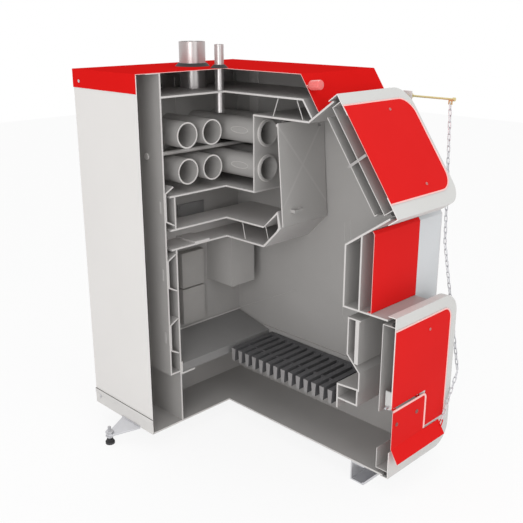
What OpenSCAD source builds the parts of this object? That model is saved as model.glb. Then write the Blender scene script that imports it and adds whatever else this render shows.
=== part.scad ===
/* [Casing] */
// Space between a side jacket and the outer face of its side panel
casing_gap = 73; // [60:1:85]
// Outer face of the rear panel, behind the section plane
case_rear = 291; // [280:1:330]
// Front face of the casing, ahead of the section plane
case_front = 540; // [530:1:560]
// Height at which the casing starts to lean back
case_knee = 652; // [640:1:660]
// Thickness of the casing sheet
sheet = 1.5; // [1:0.5:2]
// Top of the red cover
cover_top = 1024.5; // [1018:0.5:1045]
// Front edge of the cover's flat top
cover_flat_front = 287; // [280:1:300]
// Front edge of the cover's slope
cover_slope_front = 349; // [340:1:355]
// Fall of the cover's slope
cover_slope_drop = 89.5; // [80:0.5:95]
// Depth of the cover's side skirts
cover_skirt = 50; // [30:1:60]

/* [Pressure vessel] */
// Thickness of the boiler plate
plate = 5; // [4:0.5:6]
// Width of a side jacket, both plates included
jacket_width = 36; // [34:1:46]
// Half width outside the inner shell
chamber_half = 194; // [190:1:196]
// Rear face of the outer shell
shell_rear = 195; // [190:1:220]
// Rear face of the inner shell
chamber_rear = 155; // [150:1:160]
// Front face of the outer shell
shell_front = 503; // [500:1:510]
// Underside of the water jackets
jacket_foot = 160; // [150:1:170]
// Space between the cover's top and the vessel's top face
vessel_drop = 61.1; // [56:0.1:70]
// Height of the tube space, from its floor plate to the roof
tube_space = 209.4; // [200:0.2:220]
// Front face of the front tube plate
tube_plate_front = 118; // [114:1:124]
// Space between the vessel's top face and the underside of the chamber's roof
roof_drop = 60.4; // [50:0.2:70]
// Front end of the chamber's roof
roof_front = 317; // [312:1:320]

/* [Fire tubes] */
// Outer radius of a fire tube
tube_r = 36; // [30:0.5:40]
// Wall of a fire tube
tube_wall = 4; // [3:0.5:5]
// Place of the inner tubes, as a share of the chamber's half width
tube_inner_share = 0.258; // [0.24:0.001:0.27]
// Place of the outer tubes, as a share of the chamber's half width
tube_outer_share = 0.722; // [0.70:0.001:0.74]
// Distance from the roof down to the upper row
tube_row_drop = 50; // [44:1:56]
// Distance from row to row
tube_pitch = 100; // [90:1:110]

/* [Water shelf] */
// Space between the plate under the tubes and the shelf's top face
shelf_drop = 95; // [88:1:104]
// Height of the shelf, both plates included
shelf_height = 61.6; // [56:0.2:68]
// Place of the bend in the shelf
shelf_bend = 155; // [145:1:160]
// Front tip of the shelf
shelf_nose = 221; // [216:1:224]
// Rise of the shelf's front end
shelf_rise = 53; // [45:1:56]
// Rear end of the shelf
shelf_rear = 90; // [60:1:110]

/* [Grate] */
// Top of the grate
grate_top = 180; // [170:1:190]
// Distance from bar to bar
grate_pitch = 30; // [28:0.5:30]
// Number of bars
grate_bars = 14; // [10:1:14]
// Width of a bar at its top
grate_bar = 17; // [12:1:20]
// Depth of a bar
grate_depth = 40; // [30:1:50]
// Space between the grate and the chamber's outer face
grate_clear = 14; // [10:1:30]

/* [Fill door] */
// How far the frame stays inside the casing at each side
fill_inset = 16; // [8:1:24]
// Length of the frame down its slope
fill_length = 345; // [340:1:350]
// Lean of the door from upright, in degrees
fill_lean = 35.3; // [34:0.1:36.5]
// Front face of the frame's upper edge
fill_front = 407.5; // [406:0.5:412]
// Depth of the frame's upper edge below the cover's top
fill_drop = 40.8; // [38:0.1:44]
// Depth of the frame's flanges
fill_flange = 34; // [28:1:36]
// Radius of the frame's corners
fill_corner = 58; // [40:1:64]

/* [Ash door] */
// How far the frame stays inside the casing at each side
ash_inset = 18; // [10:1:26]
// Top of the frame
ash_top = 452; // [450:1:456]
// Bottom of the frame
ash_foot = -8; // [-10:1:-6]
// Front face of the frame
ash_front = 618; // [616:1:624]
// Depth of the frame's flanges
ash_flange = 24; // [20:1:25]
// Radius of the frame's corners
ash_corner = 62; // [40:1:66]

/* [Air flap] */
// Height of the flap's hinge pin
flap_axis_z = 196; // [194:1:198]
// Right edge of the flap's plate
flap_right = 150; // [140:1:170]
// Height of the bend above the lip
flap_bend_z = 84; // [80:1:88]
// Right end of the lip
lip_right = 225; // [200:1:240]
// How far the lip stands out
lip_out = 24; // [20:1:26]
// Height of the lip
lip_height = 36; // [30:1:38]

/* [Pipes] */
// Outer radius of the flow pipe
flow_r = 38; // [30:0.5:42]
// Outer radius of the sensor pocket
pocket_r = 13; // [10:0.5:15]
// How far the flow pipe stands out of the cover
flow_rise = 68.5; // [50:0.5:120]
// Outer radius of the flue spigot
flue_r = 80; // [70:1:85]
// How far the flue spigot stands out of the rear panel
flue_out = 80; // [60:1:120]
// Outer radius of the return pipe
return_r = 26; // [20:0.5:30]

/* [Feet] */
// Height of the base sheet above the ground
foot_height = 64; // [62:1:70]
// Distance from a side panel to the middle of its levelling foot
foot_out = 62; // [54:1:70]
// Radius of a foot's pad
foot_r = 14; // [12:0.5:18]

/* [Hidden] */
facets = 48;
$fn = facets;
// Sides of a nut
hex = 6;
// One overrun for every cut
over = 1;
// Gap of a loose seat
seat = 0.3;
// Clearance of a running pin in its hole
run = 0.05;
// A size larger than the whole boiler
huge = 3000;

// Widths, from the chamber outwards
shell_half = chamber_half + jacket_width;
case_half = shell_half + casing_gap;
tube_inner_x = chamber_half * tube_inner_share;
tube_outer_x = chamber_half * tube_outer_share;
grate_half = chamber_half - grate_clear;
fill_right = case_half - fill_inset;
ash_right = case_half - ash_inset;
foot_x = case_half + foot_out;

// Heights, from the cover down
cover_slope_foot = cover_top - cover_slope_drop;
vessel_top_z = cover_top - vessel_drop;
roof_z = vessel_top_z - roof_drop;
tube_floor_z = roof_z - tube_space;
tube_high_z = roof_z - tube_row_drop;
tube_low_z = tube_high_z - tube_pitch;
shelf_top = tube_floor_z - shelf_drop;
shelf_foot = shelf_top - shelf_height;
fill_top = cover_top - fill_drop;
flow_top = cover_top + flow_rise;

// Thickness of the doors' red panels
panel_thick = 1.5;
// Gap round the air flap
flap_gap = 5;
lip_reach = panel_thick + flap_gap / 2 + lip_out;

// The boiler's own middle, front to rear, is the origin
lip_front = ash_front + lip_reach;
flue_end = case_rear + flue_out;
middle_y = (flue_end - lip_front) / 2;

// Neck of the fill opening, in the section plane
neck_rise = 59;
neck_foot_drop = 201;
neck_start_drop = 294;
neck_top_end = [-398, roof_z + neck_rise];
neck_foot_end = [-582, roof_z - neck_foot_drop];
neck_foot_start = [-447, roof_z - neck_start_drop];
ash_neck_end = -592;
ash_neck_z = 437;

// Direction helpers for bent plates
function unit(v) = v / norm(v);
function side_of(v) = [-v[1], v[0]];
function ahead(p, i) = unit(p[min(i + 1, len(p) - 1)] - p[min(i, len(p) - 2)]);
function behind(p, i) = unit(p[max(i, 1)] - p[max(i - 1, 0)]);
function mitre(p, i) = (side_of(behind(p, i)) + side_of(ahead(p, i)))
    / (1 + behind(p, i) * ahead(p, i));
// A bent plate's outline: the given face, then the same face one thickness to its left
function bent(p, t) = concat(p, [for (i = [len(p) - 1:-1:0]) p[i] + t * mitre(p, i)]);
function mix(a, b, share) = a + (b - a) * share;

// Everything stands on the ground at the middle of the boiler
module stand() translate([0, -middle_y, foot_height]) children();

// A front to rear outline, pulled from x0 to x1
module across(x0, x1) translate([x0, 0, 0]) rotate([90, 0, 90]) linear_extrude(x1 - x0) children();

// A left to right outline, pulled from y0 to y1
module along(y0, y1) translate([0, y1, 0]) rotate([90, 0, 0]) linear_extrude(y1 - y0) children();

// The display section: the left front quarter is cut away
module sectioned() {
    difference() {
        children();
        translate([-huge, -huge, -huge]) cube([huge, huge, 2 * huge]);
    }
}

// A pane from one corner to the other
module block(a, b) translate(a) cube(b - a);

module pair() {
    children();
    mirror([1, 0, 0]) children();
}

// Casing
module side_sheet() {
    across(case_half - sheet, case_half)
        polygon([[case_rear - sheet, 0], [-case_front, 0], [-case_front, case_knee],
            [-cover_slope_front + sheet, cover_slope_foot - 2 * sheet],
            [-cover_flat_front + sheet, cover_top - 2 * sheet], [case_rear - sheet,
                cover_top - 2 * sheet]]);
}

module left_side_panel() color("gainsboro") stand() sectioned() mirror([1, 0, 0]) side_sheet();

module right_side_panel() color("gainsboro") stand() side_sheet();

surround_over = 3;
surround_left = chamber_half + surround_over;

module front_surround() {
    color("whitesmoke") stand()
        across(surround_left, case_half - sheet)
            polygon(bent([[-case_front, 0], [-case_front, case_knee],
                [-cover_slope_front, cover_slope_foot - sheet]], -sheet));
}

flue_drop = 93;
flue_z = roof_z - flue_drop;
return_z = 240;
panel_hole_gap = 2;

module rear_panel() {
    color("gainsboro") stand() difference() {
        block([-case_half, case_rear - sheet, 0], [case_half, case_rear, cover_top - 2 * sheet]);
        translate([0, case_rear + over, flue_z]) rotate([90, 0, 0])
            cylinder(h = sheet + 2 * over, r = flue_r + panel_hole_gap);
        translate([0, case_rear + over, return_z]) rotate([90, 0, 0])
            cylinder(h = sheet + 2 * over, r = return_r + panel_hole_gap);
    }
}

flow_y = 137;
pocket_y = 21;
cover_hole_gap = 5;

module cover_skirt_side() {
    slope = unit([cover_slope_front - cover_flat_front, cover_top - cover_slope_foot]);
    across(case_half, case_half + sheet)
        polygon([[case_rear + sheet, cover_top - cover_skirt], [-cover_flat_front, cover_top - cover_skirt],
            [-cover_slope_front + cover_skirt * slope[0], cover_slope_foot],
            [-cover_slope_front, cover_slope_foot],
            [-cover_flat_front, cover_top], [case_rear + sheet, cover_top]]);
}

module top_cover() {
    color("crimson") stand() sectioned() difference() {
        union() {
            across(-case_half - sheet, case_half + sheet)
                polygon(bent([[case_rear + sheet, cover_top], [-cover_flat_front, cover_top],
                    [-cover_slope_front, cover_slope_foot]], sheet));
            pair() cover_skirt_side();
            knob_boss();
            block([-case_half, case_rear, cover_top - cover_skirt],
                [case_half, case_rear + sheet, cover_top]);
        }
        translate([0, flow_y, cover_top - 2 * sheet - over])
            cylinder(h = 2 * sheet + 2 * over, r = flow_r + cover_hole_gap);
        translate([0, pocket_y, cover_top - 2 * sheet - over])
            cylinder(h = 2 * sheet + 2 * over, r = pocket_r + cover_hole_gap);
    }
}

mid_foot = 443;
panel_return = 12;
panel_side_share = 0.95;
panel_lean_share = 0.03;

module mid_front_panel() {
    tray = case_front - shell_front;
    knee = [-case_front, case_knee];
    slope_top = [-cover_slope_front, cover_slope_foot - sheet];
    color("crimson") stand() sectioned() {
        across(-surround_left + run, surround_left - run)
            polygon(bent([[-case_front, mid_foot], knee, mix(knee, slope_top, panel_lean_share)], -sheet));
        pair() block([surround_left - 2 * sheet, -case_front + sheet, mid_foot],
            [surround_left - sheet, -case_front + tray, mix(mid_foot, case_knee, panel_side_share)]);
        block([-surround_left + 2 * sheet, -case_front + sheet, mid_foot],
            [surround_left - 2 * sheet, -case_front + panel_return, mid_foot + sheet]);
    }
}

module base_sheet() {
    color("dimgray") stand() sectioned() {
        block([-case_half + sheet, -case_front, -plate], [case_half - sheet, case_rear - sheet, 0]);
        block([-chamber_half, ash_neck_end - 2 * plate, -plate], [chamber_half, -case_front, 0]);
    }
}

rail_height = 30;
rail_hole_r = 3;
rail_hole_y = 267;
rail_hole_share = 0.6;

module base_rails() {
    color("lightgray") stand() sectioned() pair() difference() {
        block([case_half, -case_front, -plate], [case_half + sheet, case_rear, rail_height]);
        translate([case_half - over, rail_hole_y, mix(-plate, rail_height,
            rail_hole_share)]) rotate([0, 90, 0])
            cylinder(h = sheet + 2 * over, r = rail_hole_r);
    }
}

// Feet
front_foot_back = 495;
front_foot_lip = 540;
front_foot_inset = 41;
front_foot_half = case_half - front_foot_inset;
front_foot_sheet = 4;

module front_foot() {
    color("silver") stand() sectioned()
        across(-front_foot_half, front_foot_half)
            polygon(bent([[-front_foot_lip, -foot_height + 2 * front_foot_sheet],
                [-front_foot_lip, -foot_height], [-front_foot_back, -foot_height],
                [-front_foot_back, -plate], [-front_foot_lip, -plate]],
                front_foot_sheet));
}

bracket_rear = 149;
bracket_front = 61;
foot_y = 135;
bracket_tip_z = -38;
bracket_sheet = 4;
bracket_boss_r = 10;
stud_r = 5;

module foot_bracket() {
    side = case_half + sheet;
    difference() {
        union() {
            block([side, bracket_front, -plate - bracket_sheet], [side + bracket_sheet, bracket_rear, 0]);
            hull() {
                block([side, bracket_front, -plate - bracket_sheet], [side + bracket_sheet,
                    bracket_rear, -plate]);
                translate([foot_x, foot_y, bracket_tip_z]) cylinder(h = bracket_sheet, r = bracket_boss_r);
            }
            translate([foot_x, foot_y, bracket_tip_z]) cylinder(h = 2 * bracket_sheet, r = bracket_boss_r);
        }
        translate([foot_x, foot_y, bracket_tip_z - over])
            cylinder(h = foot_height, r = stud_r + run);
        translate([foot_x, foot_y, bracket_tip_z + 2 * bracket_sheet])
            cylinder(h = foot_height, r = bracket_boss_r + over);
    }
}

module left_foot_bracket() color("silver") stand() mirror([1, 0, 0]) foot_bracket();

module right_foot_bracket() color("silver") stand() foot_bracket();

pad_height = 16;
nut_height = 7;
nut_r = 9;

module levelling_foot() {
    translate([foot_x, foot_y, -foot_height]) {
        rotate_extrude() polygon([[0, 0], [foot_r, 0], [foot_r, pad_height / 2],
            [foot_r - pad_height / 4, pad_height], [0, pad_height]]);
        cylinder(h = foot_height + bracket_tip_z + 2 * bracket_sheet + 2 * nut_height, r = stud_r);
        translate([0, 0, foot_height + bracket_tip_z + 2 * bracket_sheet])
            cylinder(h = nut_height, r = nut_r, $fn = hex);
    }
}

module left_levelling_foot() color("dimgray") stand() mirror([1, 0, 0]) levelling_foot();

module right_levelling_foot() color("dimgray") stand() levelling_foot();

// Pressure vessel
vessel_slope_top = 296;
vessel_slope_drop = 45.1;
vessel_slope_end = [-328.6, vessel_top_z - vessel_slope_drop];
knee_gap = 12;
shell_knee = case_knee - knee_gap;
vessel_top_points = [[shell_rear, vessel_top_z], [-vessel_slope_top, vessel_top_z], vessel_slope_end];

shell_side_points = concat([[shell_rear, jacket_foot], [-shell_front, jacket_foot], [-shell_front,
    shell_knee]],
    [vessel_slope_end], [for (i = [2:-1:0]) vessel_top_points[i] + plate * mitre(vessel_top_points, i)]);

module outer_shell() {
    color("dimgray") stand() sectioned() difference() {
        union() {
            pair() across(shell_half - plate, shell_half) polygon(shell_side_points);
            block([-shell_half + plate + run, shell_rear - plate, jacket_foot],
                [shell_half - plate - run, shell_rear, vessel_top_z - plate]);
            block([-shell_half + plate + run, chamber_rear, jacket_foot],
                [shell_half - plate - run, shell_rear - plate - run, jacket_foot + plate]);
            pair() block([chamber_half, -shell_front + plate, jacket_foot],
                [shell_half - plate - run, chamber_rear - run, jacket_foot + plate]);
        }
        tube_holes(chamber_rear, shell_rear);
        translate([0, shell_rear + over, return_z]) rotate([90, 0, 0])
            cylinder(h = plate + 2 * over, r = return_r);
        translate([-huge / 2, tie_y, tie_z]) rotate([0, 90, 0]) cylinder(h = huge, r = tie_r);
    }
}

closure_share = 0.97;

module front_closure() {
    color("dimgray") stand()
        across(chamber_half, shell_half - plate)
            polygon(bent([[-shell_front, jacket_foot], [-shell_front, shell_knee],
                mix([-shell_front, shell_knee], vessel_slope_end, closure_share)], -plate));
}

module vessel_top() {
    color("dimgray") stand() sectioned() difference() {
        across(-shell_half, shell_half)
            polygon(bent(vessel_top_points, plate));
        translate([0, flow_y, vessel_top_z - plate - over]) cylinder(h = plate + 2 * over, r = flow_r);
        translate([0, pocket_y, vessel_top_z - plate - over]) cylinder(h = plate + 2 * over, r = pocket_r);
    }
}

cover_rail_flange = 42;

module cover_rails() {
    top = cover_top - sheet;
    color("dimgray") stand() sectioned() pair() {
        block([shell_half - plate, -cover_flat_front + 2 * sheet, vessel_top_z], [shell_half,
            shell_rear, top]);
        block([shell_half, -cover_flat_front + 2 * sheet, top - sheet],
            [shell_half + cover_rail_flange, shell_rear, top]);
    }
}

nose_lift = 15;
// The shelf's outline, with its raised front end
shelf_points = [[shelf_rear, shelf_foot], [-shelf_bend, shelf_foot],
    [-shelf_bend - shelf_rise, shelf_foot + shelf_rise], [-shelf_nose, shelf_foot + shelf_rise + nose_lift],
    [-shelf_bend - shelf_rise, shelf_top + shelf_rise], [-shelf_bend, shelf_top], [shelf_rear, shelf_top]];

module inner_shell() {
    wall_points = [[chamber_rear, 0], [ash_neck_end, 0], [ash_neck_end, ash_neck_z],
        [neck_foot_start[0], ash_neck_z], neck_foot_start, neck_foot_end, neck_top_end,
        [-roof_front, roof_z], [-tube_plate_front, roof_z], [-tube_plate_front, tube_floor_z - plate],
        [chamber_rear, tube_floor_z - plate]];
    color("gray") stand() sectioned() difference() {
        union() {
            pair() across(chamber_half - plate, chamber_half) polygon(wall_points);
            block([-chamber_half + plate, chamber_rear - plate, 0],
                [chamber_half - plate, chamber_rear, tube_floor_z - plate]);
        }
        across(-huge / 2, huge / 2) polygon(shelf_points);
    }
}

module tube_floor() {
    color("gray") stand() sectioned()
        block([-shelf_half, -tube_plate_front, tube_floor_z - plate],
            [shelf_half, shell_rear - plate, tube_floor_z]);
}

shelf_into = 15;
shelf_half = chamber_half + shelf_into;

module tube_bodies(y0, y1, r) {
    for (x = [-tube_outer_x, -tube_inner_x, tube_inner_x, tube_outer_x], z = [tube_low_z, tube_high_z])
        translate([x, y1, z]) rotate([90, 0, 0]) cylinder(h = y1 - y0, r = r);
}

module tube_holes(y0, y1) tube_bodies(y0 - over, y1 + over, tube_r);

module front_tube_plate() {
    color("gray") stand() sectioned() difference() {
        block([-chamber_half, -tube_plate_front, tube_floor_z], [chamber_half,
            -tube_plate_front + plate, roof_z]);
        tube_holes(-tube_plate_front, -tube_plate_front + plate);
    }
}

tube_proud = 8;

module fire_tubes() {
    color("darkgray") stand() sectioned() difference() {
        tube_bodies(-tube_plate_front - tube_proud, shell_rear + tube_proud, tube_r);
        tube_bodies(-tube_plate_front - tube_proud - over, shell_rear + tube_proud + over,
            tube_r - tube_wall);
    }
}

module chamber_roof() {
    color("gray") stand() sectioned()
        block([-shelf_half, -roof_front, roof_z], [shelf_half, -tube_plate_front + plate, roof_z + plate]);
}

neck_top_start = [-roof_front, roof_z];

module fill_neck_top() {
    run_of = unit(neck_top_end - neck_top_start);
    color("gray") stand() sectioned()
        across(-chamber_half, chamber_half)
            polygon([neck_top_start, neck_top_end, neck_top_end - plate * side_of(run_of),
                [neck_top_start[0], neck_top_start[1] + plate / -run_of[0]]]);
}

module front_box_inner() {
    color("gray") stand() sectioned()
        across(-chamber_half, chamber_half)
            polygon(bent([[ash_neck_end, ash_neck_z], [neck_foot_start[0], ash_neck_z],
                neck_foot_start, neck_foot_end], plate));
}

box_outer_y = -498;

module front_box_outer() {
    low = ash_neck_z + plate;
    fall = (neck_foot_end[1] - neck_foot_start[1]) / (neck_foot_end[0] - neck_foot_start[0]);
    lift = plate * norm([1, fall]);
    function under(y) = neck_foot_start[1] + (y - neck_foot_start[0]) * fall - lift;
    color("gray") stand() sectioned()
        across(-chamber_half, chamber_half)
            polygon([[box_outer_y, low], [box_outer_y, under(box_outer_y)],
                [box_outer_y - plate, under(box_outer_y - plate)], [box_outer_y - plate, low]]);
}

tab_left = 124;
tab_right = 68;

module water_shelf() {
    color("gray") stand() sectioned() {
        across(-shelf_half, shelf_half) difference() {
            polygon(shelf_points);
            polygon([[shelf_rear - plate, shelf_foot + plate], [-shelf_bend + plate / 2,
                shelf_foot + plate],
                [-shelf_bend - shelf_rise + plate, shelf_foot + shelf_rise + plate / 2],
                [-shelf_nose + 2 * plate, shelf_foot + shelf_rise + nose_lift],
                [-shelf_bend - shelf_rise + plate / 2, shelf_top + shelf_rise - 2 * plate],
                [-shelf_bend + plate / 2, shelf_top - plate], [shelf_rear - plate, shelf_top - plate]]);
        }
        block([-tab_left, 0, shelf_foot + plate], [-tab_right, shelf_rear - plate, shelf_foot + 2 * plate]);
    }
}

tie_y = 65;
tie_lift = 46;
tie_z = tube_low_z + tie_lift;
tie_r = 6;
tie_head_r = 9;
tie_head = 4;

module tie_rod() {
    color("silver") stand() {
        translate([-shell_half, tie_y, tie_z]) rotate([0, 90, 0]) cylinder(h = 2 * shell_half, r = tie_r);
        pair() translate([shell_half, tie_y, tie_z]) rotate([0, 90, 0]) cylinder(h = tie_head,
            r = tie_head_r);
    }
}

// Three bent channels stand in each side jacket
channel_sheet = 4;
channel_height = 113;
channel_lean = 16;
channel_places = [220, 414, 607];
channel_rear = 140;
channel_front = 140;

module jacket_channels() {
    inner = chamber_half + channel_sheet / 2 + seat;
    outer = shell_half - plate - run;
    color("silver") stand() sectioned() pair() for (z = channel_places)
        along(-channel_front, channel_rear)
            polygon(bent([[inner, z], [outer, z + channel_lean], [outer, z + channel_height - channel_lean],
                [inner, z + channel_height]], channel_sheet));
}

// Fire bed
ledge_rear_z = 215;
ledge_front = -3;
ledge_rise = 2;
ledge_bite = 6.25;

module rear_ledge() {
    color("gray") stand() sectioned()
        across(-chamber_half + 2 * plate + seat, chamber_half - 2 * plate - seat)
            polygon(bent([[chamber_rear - ledge_bite, ledge_rear_z], [-ledge_front, grate_top + ledge_rise],
                [-ledge_front, ledge_seat_z + run]], plate));
}

brick_left = 72;
brick_right = 17;
brick_foot = 236;
brick_joint = 352;
brick_top = 470;
brick_thick = 24;
brick_joint_gap = 4;

module rear_bricks() {
    back = chamber_rear - plate;
    color("silver") stand() {
        block([-brick_left, back - brick_thick, brick_foot], [brick_right, back, brick_joint]);
        block([-brick_left, back - brick_thick, brick_joint + brick_joint_gap], [brick_right, back,
            brick_top]);
    }
}

riser_left = 49;
riser_right = 146;
riser_front = 33;
riser_foot = 357;

module riser_duct() {
    back = chamber_rear - plate;
    color("gray") stand() difference() {
        block([riser_left, riser_front, riser_foot], [riser_right, back, shelf_foot]);
        block([riser_left + plate, riser_front + plate, riser_foot - over],
            [riser_right - plate, back - plate, shelf_foot + over]);
    }
}

ledge_seat_z = 155;
ledge_width = 56;
ledge_reach = chamber_half - ledge_width;
ledge_leg = 36;
ledge_length_back = 30;

module grate_ledges() {
    wall = chamber_half - plate;
    color("silver") stand() sectioned() pair()
        along(-(grate_bars * grate_pitch), ledge_length_back)
            polygon(bent([[wall, ledge_seat_z + ledge_leg], [wall, ledge_seat_z - plate],
                [ledge_reach, ledge_seat_z - plate]], -plate));
}

grate_start = 14;
grate_taper = 3;
grate_play = 2;
spine_x = 60;

module grate() {
    deep_half = ledge_reach - grate_play;
    module bar_section(depth) {
        polygon([[-grate_bar / 2, grate_top], [grate_bar / 2, grate_top],
            [grate_bar / 2 - grate_taper, grate_top - depth], [-grate_bar / 2 + grate_taper,
                grate_top - depth]]);
    }
    color("dimgray") stand() sectioned() {
        for (i = [0:grate_bars - 1]) translate([0, -grate_start - grate_bar / 2 - i * grate_pitch, 0]) {
            across(-deep_half, deep_half) bar_section(grate_depth);
            pair() across(deep_half, grate_half) bar_section(grate_top - ledge_seat_z);
        }
        pair() block([grate_half - grate_bar,
            -grate_start - (grate_bars - 1) * grate_pitch - grate_bar / 2, ledge_seat_z],
            [grate_half, -grate_start - grate_bar / 2, grate_top]);
        pair() block([spine_x - grate_taper, -grate_start - (grate_bars - 1) * grate_pitch - grate_bar / 2,
            grate_top - grate_depth / 2], [spine_x + grate_taper, -grate_start - grate_bar / 2,
                grate_top - grate_taper]);
    }
}

beam_rear = 436;
beam_front = 508;
beam_foot = 166;
beam_top_rear = 212;
beam_top_front = 217;
beam_leg = 138;

module grate_beam() {
    color("lightgray") stand() sectioned()
        across(-chamber_half + plate, chamber_half - plate) difference() {
            polygon([[-beam_rear, beam_leg], [-beam_rear, beam_top_rear], [-beam_front, beam_top_front],
                [-beam_front, beam_foot], [-beam_rear - plate, beam_foot], [-beam_rear - plate, beam_leg]]);
            polygon([[-beam_rear - plate, beam_foot + plate], [-beam_rear - plate, beam_top_rear - plate],
                [-beam_front + plate, beam_top_front - plate], [-beam_front + plate, beam_foot + plate]]);
        }
}

guard_sheet = 4;
guard_top = 414;
guard_back = 466;
guard_foot = 211;
guard_knee = 264;
guard_bend = 307;
guard_play = 1;

module ash_guard() {
    color("lightgray") stand() sectioned()
        across(-chamber_half + plate + guard_play, chamber_half - plate - guard_play)
            polygon(bent([[-beam_front, guard_foot], [-beam_front, guard_knee], [-guard_back, guard_bend],
                [-guard_back, guard_top], [-beam_front, guard_top]], guard_sheet));
}

bar_rear = 492;
bar_front = 504;
bar_foot = 287;

module guard_bar() {
    color("whitesmoke") stand() sectioned()
        block([-chamber_half + 2 * plate, -bar_front, bar_foot],
            [chamber_half - 2 * plate, -bar_rear, guard_top - guard_sheet - run]);
}

// Flap in front of the fire tubes
lug_drop = 17;
flap_foot_lift = 11.4;
tube_flap_axis = [-204, roof_z - lug_drop];
tube_flap_foot = [-226.5, shelf_top + flap_foot_lift];
tube_flap_sheet = 4;
tube_flap_gap = 9;
tube_flap_half = chamber_half - tube_flap_gap;
flap_curl = 6;
hinge_rod_r = 4;
lug_width = 12;
lug_inset = 17;
lug_places = [tube_flap_half - lug_inset];
lug_size = 9;
lug_play = 1;
handle_lift = 36;

module tube_flap() {
    handle_left = 33;
    handle_right = 66;
    handle_z = tube_flap_foot[1] + handle_lift;
    handle_bite = tube_flap_sheet / 2;
    handle_out = 10;
    color("darkgray") stand() sectioned() {
        difference() {
            across(-tube_flap_half, tube_flap_half)
                polygon(bent([tube_flap_foot, tube_flap_axis + [-lug_play, -flap_curl],
                    tube_flap_axis + [-lug_play, flap_curl]],
                    tube_flap_sheet));
            pair() for (x = lug_places)
                block([x - lug_width / 2 - lug_play, tube_flap_axis[0] - 2 * lug_size,
                    tube_flap_axis[1] - 2 * lug_size],
                    [x + lug_width / 2 + lug_play, tube_flap_axis[0] + 2 * lug_size,
                        tube_flap_axis[1] + 2 * lug_size]);
        }
        translate([-tube_flap_half + over, tube_flap_axis[0], tube_flap_axis[1]]) rotate([0, 90, 0])
            cylinder(h = 2 * (tube_flap_half - over), r = hinge_rod_r);
        for (x = [handle_left, handle_right])
            block([x, tube_flap_foot[0] - handle_bite - handle_out, handle_z],
                [x + tube_flap_sheet, tube_flap_foot[0] + handle_bite, handle_z + 2 * tube_flap_sheet]);
        block([handle_left, tube_flap_foot[0] - handle_bite - handle_out - tube_flap_sheet, handle_z],
            [handle_right + tube_flap_sheet, tube_flap_foot[0] - handle_bite - handle_out,
                handle_z + 2 * tube_flap_sheet]);
    }
}

module tube_flap_hinge() {
    color("gray") stand() sectioned() pair() for (x = lug_places) difference() {
        block([x - lug_width / 2, tube_flap_axis[0] - lug_size, tube_flap_axis[1] - lug_size],
            [x + lug_width / 2, tube_flap_axis[0] + lug_size, roof_z]);
        translate([-huge / 2, tube_flap_axis[0], tube_flap_axis[1]]) rotate([0, 90, 0])
            cylinder(h = huge, r = hinge_rod_r + run);
    }
}

// Pipes
flow_dip = 11.4;
pocket_dip = 61.4;
flow_foot = vessel_top_z - flow_dip;
pocket_foot = vessel_top_z - pocket_dip;
pipe_wall = 4;

module flow_pipe() {
    color("silver") stand() difference() {
        translate([0, flow_y, flow_foot]) cylinder(h = flow_top - flow_foot, r = flow_r);
        translate([0, flow_y, flow_foot - over])
            cylinder(h = flow_top - flow_foot + 2 * over, r = flow_r - pipe_wall);
    }
}

pocket_top_drop = 5;

module sensor_pocket() {
    color("silver") stand() difference() {
        translate([0, pocket_y, pocket_foot])
            cylinder(h = flow_top - pocket_top_drop - pocket_foot, r = pocket_r);
        translate([0, pocket_y, pocket_foot + pipe_wall])
            cylinder(h = flow_top - pocket_foot, r = pocket_r - pipe_wall);
    }
}

seal_rise = 9;
seal_width = 12;
seal_rim = 3;

module pipe_seal(y, r) {
    translate([0, y, cover_top]) difference() {
        cylinder(h = seal_rise, r1 = r + seal_width, r2 = r + seal_rim);
        translate([0, 0, -over]) cylinder(h = seal_rise + 2 * over, r = r);
    }
}

module pipe_seals() {
    color("black") stand() {
        pipe_seal(flow_y, flow_r);
        pipe_seal(pocket_y, pocket_r);
    }
}

flue_wall = 3;
box_gap = 4;
box_height = 200;
box_drop = 3;
box_clear = 2;
smoke_box_half = chamber_half - box_gap;
smoke_box_top = roof_z - box_drop;
smoke_box_foot = smoke_box_top - box_height;

module flue_spigot() {
    box_rear = case_rear - sheet - box_clear;
    color("dimgray") stand() difference() {
        union() {
            block([-smoke_box_half, shell_rear, smoke_box_foot], [smoke_box_half, box_rear, smoke_box_top]);
            translate([0, flue_end, flue_z]) rotate([90, 0, 0])
                cylinder(h = flue_end - box_rear + flue_wall, r = flue_r);
        }
        block([-smoke_box_half + flue_wall, shell_rear - over, smoke_box_foot + flue_wall],
            [smoke_box_half - flue_wall, box_rear - flue_wall, smoke_box_top - flue_wall]);
        translate([0, flue_end + over, flue_z]) rotate([90, 0, 0])
            cylinder(h = flue_end - shell_rear, r = flue_r - flue_wall);
    }
}

return_out = 50;

module return_pipe() {
    color("silver") stand() translate([0, case_rear + return_out, return_z]) rotate([90, 0,
        0]) difference() {
        cylinder(h = case_rear + return_out - shell_rear + plate, r = return_r);
        translate([0, 0, -over])
            cylinder(h = case_rear + return_out - shell_rear + plate + 2 * over, r = return_r - pipe_wall);
    }
}

// Doors: a door's own frame has its upper front edge at zero and its front to -Y
module on_fill_door() translate([0, -fill_front, fill_top]) rotate([-fill_lean, 0, 0]) children();

module on_ash_door() translate([0, -ash_front, ash_top]) children();

// A pane with round right corners, symmetrical about the middle of the boiler
module round_pane(half, top, foot, corner) {
    translate([-half, foot]) square([2 * half - corner, top - foot]);
    translate([half - corner - over, foot + corner]) square([corner + over, top - foot - 2 * corner]);
    for (z = [foot + corner, top - corner]) translate([half - corner, z]) circle(r = corner);
}

door_sheet = 2;
knuckle_r = 5;
pin_r = 3;
hinge_set = 12;
knuckle_length = 36;

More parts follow.
